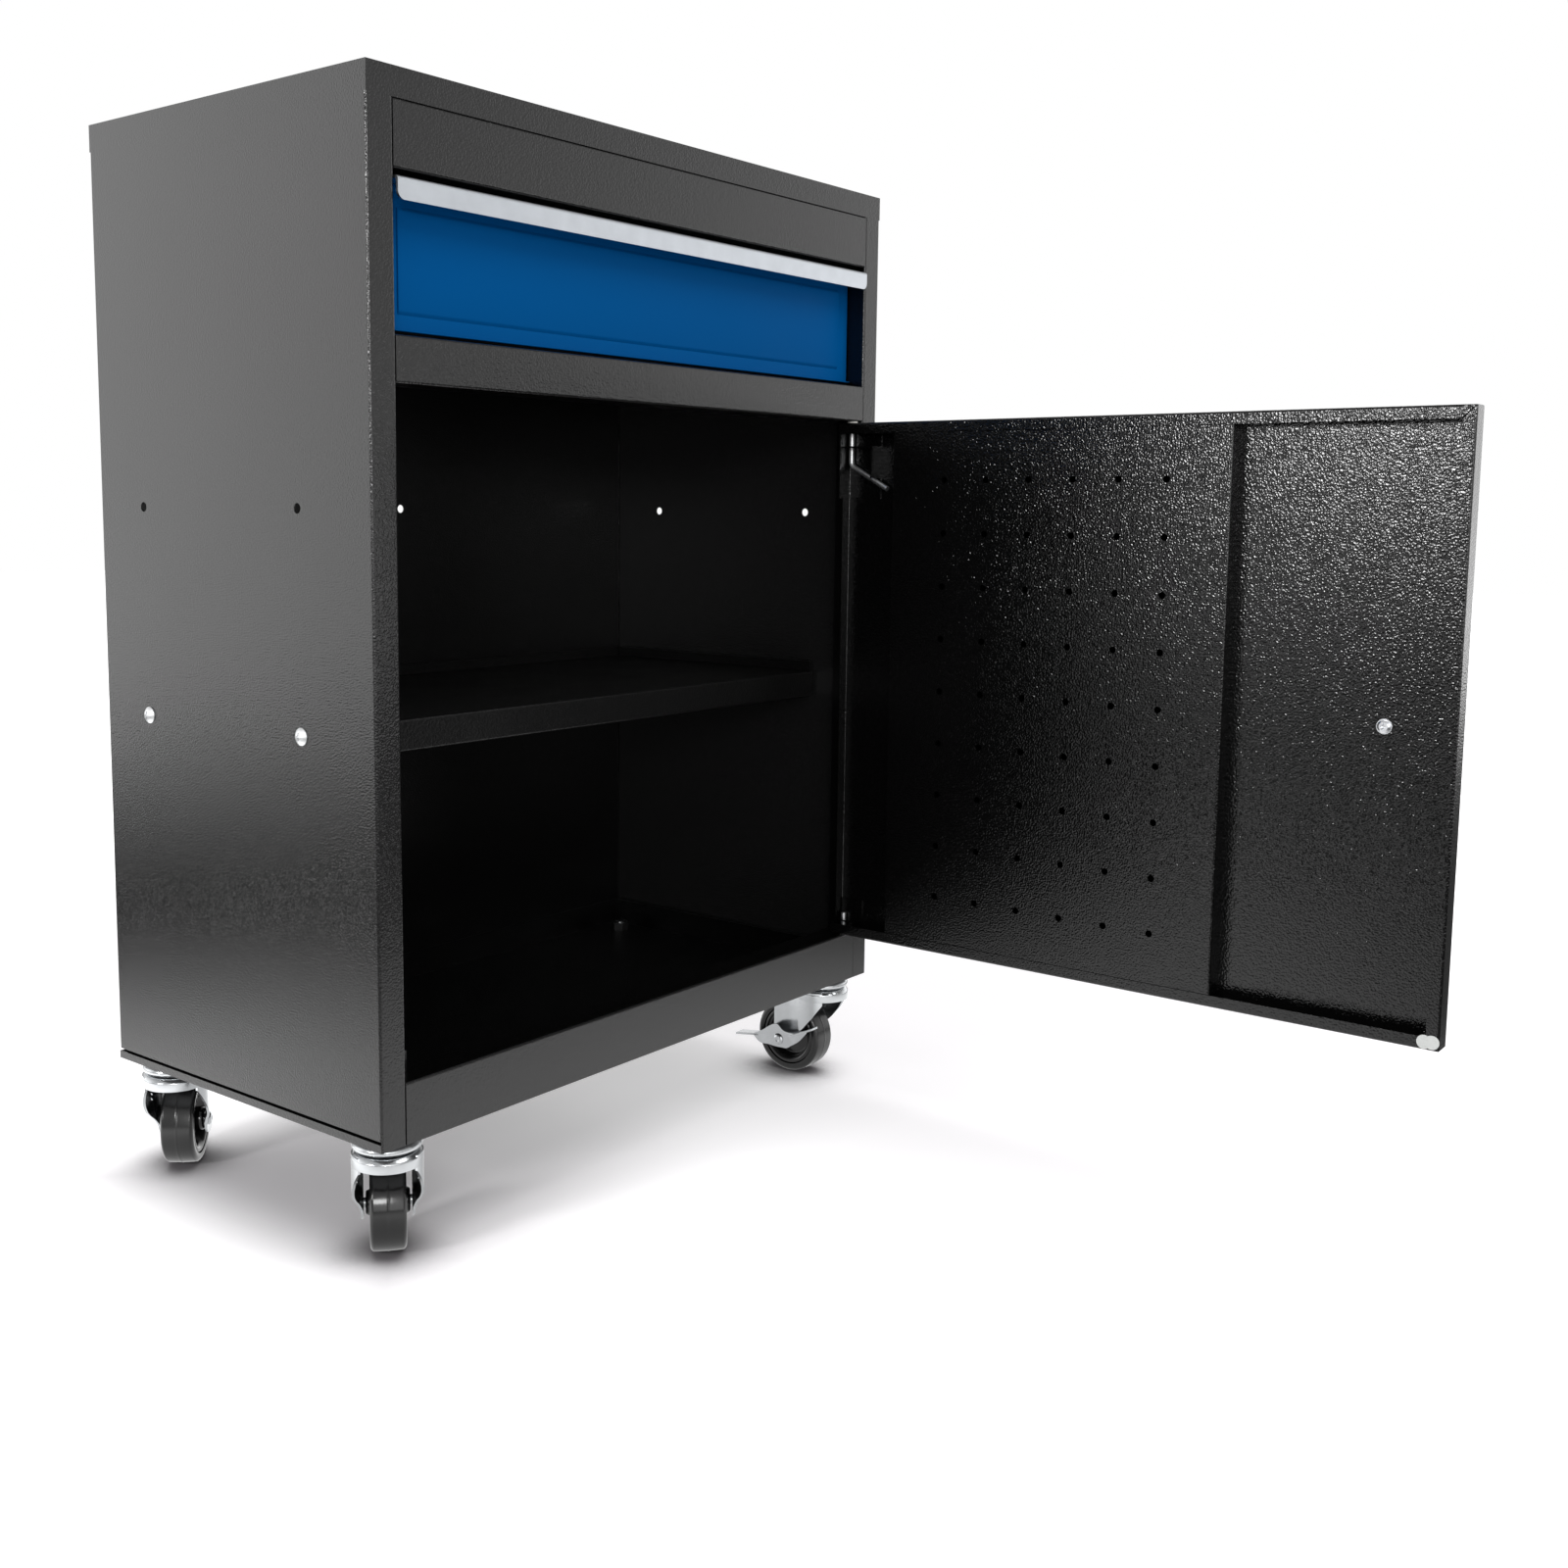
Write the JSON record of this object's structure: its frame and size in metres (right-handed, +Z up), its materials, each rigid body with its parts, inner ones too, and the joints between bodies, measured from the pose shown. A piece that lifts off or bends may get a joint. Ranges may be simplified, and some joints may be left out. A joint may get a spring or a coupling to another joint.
{
  "type": "roller tool cabinet",
  "caption": "Low sheet-steel tool cabinet on swivel casters with a shallow top drawer, a shelf and a hinged door backed by a perforated panel.",
  "frame": {"origin": "on the floor under the middle of the cabinet body", "axes": "+Z up, +X to the right seen from the front, the drawer and door face -Y"},
  "size_m": [0.6234, 0.9413, 0.85],
  "materials": {
    "body_black": "textured powder coat",
    "inner_black": "semi-gloss powder coat",
    "door_black": "glossy wrinkle powder coat",
    "drawer_blue": "satin powder coat",
    "handle_aluminium": "satin anodised",
    "knob_aluminium": "satin turned",
    "caster_zinc": "bright zinc plate",
    "zinc_hardware": "bright zinc plate",
    "slide_steel": "clear zinc plate",
    "mat_rubber": "ribbed, matt",
    "catch_plastic": "moulded, matt",
    "bumper_clear": "clear soft plastic",
    "washer_nylon": "natural nylon",
    "wheel_plastic": "moulded, semi-matt",
    "tyre_rubber": "moulded tread, satin"
  },
  "bodies": {
    "cabinet": {"side_panel_left": "body_black", "side_panel_right": "body_black", "back_panel": "body_black", "bottom_pan": "body_black", "bottom_rail": "body_black", "cross_rail": "body_black", "top_rail": "body_black", "top_cover": "body_black", "top_mat": "mat_rubber", "shelf": "inner_black", "shelf_screws": "zinc_hardware", "shelf_nuts": "zinc_hardware", "magnet_catch": "catch_plastic", "slide_bracket_left": "inner_black", "slide_bracket_right": "inner_black", "slide_outer_left": "slide_steel", "slide_outer_right": "slide_steel", "caster_stems": "zinc_hardware", "caster_nuts": "inner_black", "caster_cup_fl": "caster_zinc", "caster_cup_fr": "caster_zinc", "caster_cup_rl": "caster_zinc", "caster_cup_rr": "caster_zinc"},
    "door": {"door_skin": "door_black", "door_peg_panel": "door_black", "door_top_bracket": "door_black", "door_bottom_bracket": "door_black", "bottom_hinge_pin": "zinc_hardware", "hinge_washers": "washer_nylon", "door_knob": "knob_aluminium", "door_knob_screw": "zinc_hardware", "door_bumpers": "bumper_clear"},
    "hinge_release_pin": {"top_hinge_pin": "zinc_hardware"},
    "drawer": {"drawer_front": "drawer_blue", "drawer_box": "inner_black", "drawer_handle_strip": "handle_aluminium", "slide_inner_left": "slide_steel", "slide_inner_right": "slide_steel"},
    "slide_middles": {"slide_middle_left": "slide_steel", "slide_middle_right": "slide_steel"},
    "caster_front_left": {"fork_fl": "caster_zinc", "axle_fl": "caster_zinc"},
    "wheel_front_left": {"wheel_core_fl": "wheel_plastic", "tyre_fl": "tyre_rubber"},
    "caster_front_right": {"fork_fr": "caster_zinc", "axle_fr": "caster_zinc"},
    "wheel_front_right": {"wheel_core_fr": "wheel_plastic", "tyre_fr": "tyre_rubber"},
    "caster_rear_left": {"fork_rl": "caster_zinc", "axle_rl": "caster_zinc"},
    "wheel_rear_left": {"wheel_core_rl": "wheel_plastic", "tyre_rl": "tyre_rubber"},
    "caster_rear_right": {"fork_rr": "caster_zinc", "axle_rr": "caster_zinc"},
    "wheel_rear_right": {"wheel_core_rr": "wheel_plastic", "tyre_rr": "tyre_rubber"},
    "brake_front_right": {"brake_pedal_fr": "caster_zinc"},
    "brake_rear_right": {"brake_pedal_rr": "caster_zinc"}
  },
  "joints": [
    {"name": "door_hinge", "type": "hinge", "parent": "cabinet", "child": "door", "pos_m": [0.276, -0.1598, 0.3945], "axis": [0, 0, 1], "range_deg": [-90, 28]},
    {"name": "hinge_pin_release", "type": "slide", "parent": "door", "child": "hinge_release_pin", "axis": [0, 0, -1], "range_m": [0, 0.012]},
    {"name": "drawer_slide", "type": "slide", "parent": "cabinet", "child": "drawer", "axis": [0, -1, 0], "range_m": [0, 0.27]},
    {"name": "middle_slide", "type": "slide", "parent": "cabinet", "child": "slide_middles", "axis": [0, -1, 0], "range_m": [0, 0.135]},
    {"name": "swivel_front_left", "type": "hinge", "parent": "cabinet", "child": "caster_front_left", "pos_m": [-0.277, -0.134, 0.0906], "axis": [0, 0, 1], "continuous": true},
    {"name": "roll_front_left", "type": "hinge", "parent": "caster_front_left", "child": "wheel_front_left", "pos_m": [-0.25735, -0.11041, 0.0364], "axis": [-0.7683, 0.6401, 0], "continuous": true},
    {"name": "swivel_front_right", "type": "hinge", "parent": "cabinet", "child": "caster_front_right", "pos_m": [0.277, -0.134, 0.0906], "axis": [0, 0, 1], "continuous": true},
    {"name": "roll_front_right", "type": "hinge", "parent": "caster_front_right", "child": "wheel_front_right", "pos_m": [0.27625, -0.10331, 0.0364], "axis": [-0.9997, -0.0244, 0], "continuous": true},
    {"name": "brake_front_right_rock", "type": "hinge", "parent": "caster_front_right", "child": "brake_front_right", "pos_m": [0.27625, -0.10331, 0.0364], "axis": [0.9997, 0.0244, 0], "range_deg": [0, 18]},
    {"name": "swivel_rear_left", "type": "hinge", "parent": "cabinet", "child": "caster_rear_left", "pos_m": [-0.277, 0.134, 0.0906], "axis": [0, 0, 1], "continuous": true},
    {"name": "roll_rear_left", "type": "hinge", "parent": "caster_rear_left", "child": "wheel_rear_left", "pos_m": [-0.25455, 0.15494, 0.0364], "axis": [-0.682, 0.7314, 0], "continuous": true},
    {"name": "swivel_rear_right", "type": "hinge", "parent": "cabinet", "child": "caster_rear_right", "pos_m": [0.277, 0.134, 0.0906], "axis": [0, 0, 1], "continuous": true},
    {"name": "roll_rear_right", "type": "hinge", "parent": "caster_rear_right", "child": "wheel_rear_right", "pos_m": [0.2875, 0.16285, 0.0364], "axis": [-0.9397, 0.342, 0], "continuous": true},
    {"name": "brake_rear_right_rock", "type": "hinge", "parent": "caster_rear_right", "child": "brake_rear_right", "pos_m": [0.2875, 0.16285, 0.0364], "axis": [0.9397, -0.342, 0], "range_deg": [0, 18]}
  ],
  "couplings": [
    {"joint": "middle_slide", "follows": "drawer_slide", "ratio": 0.5}
  ]
}
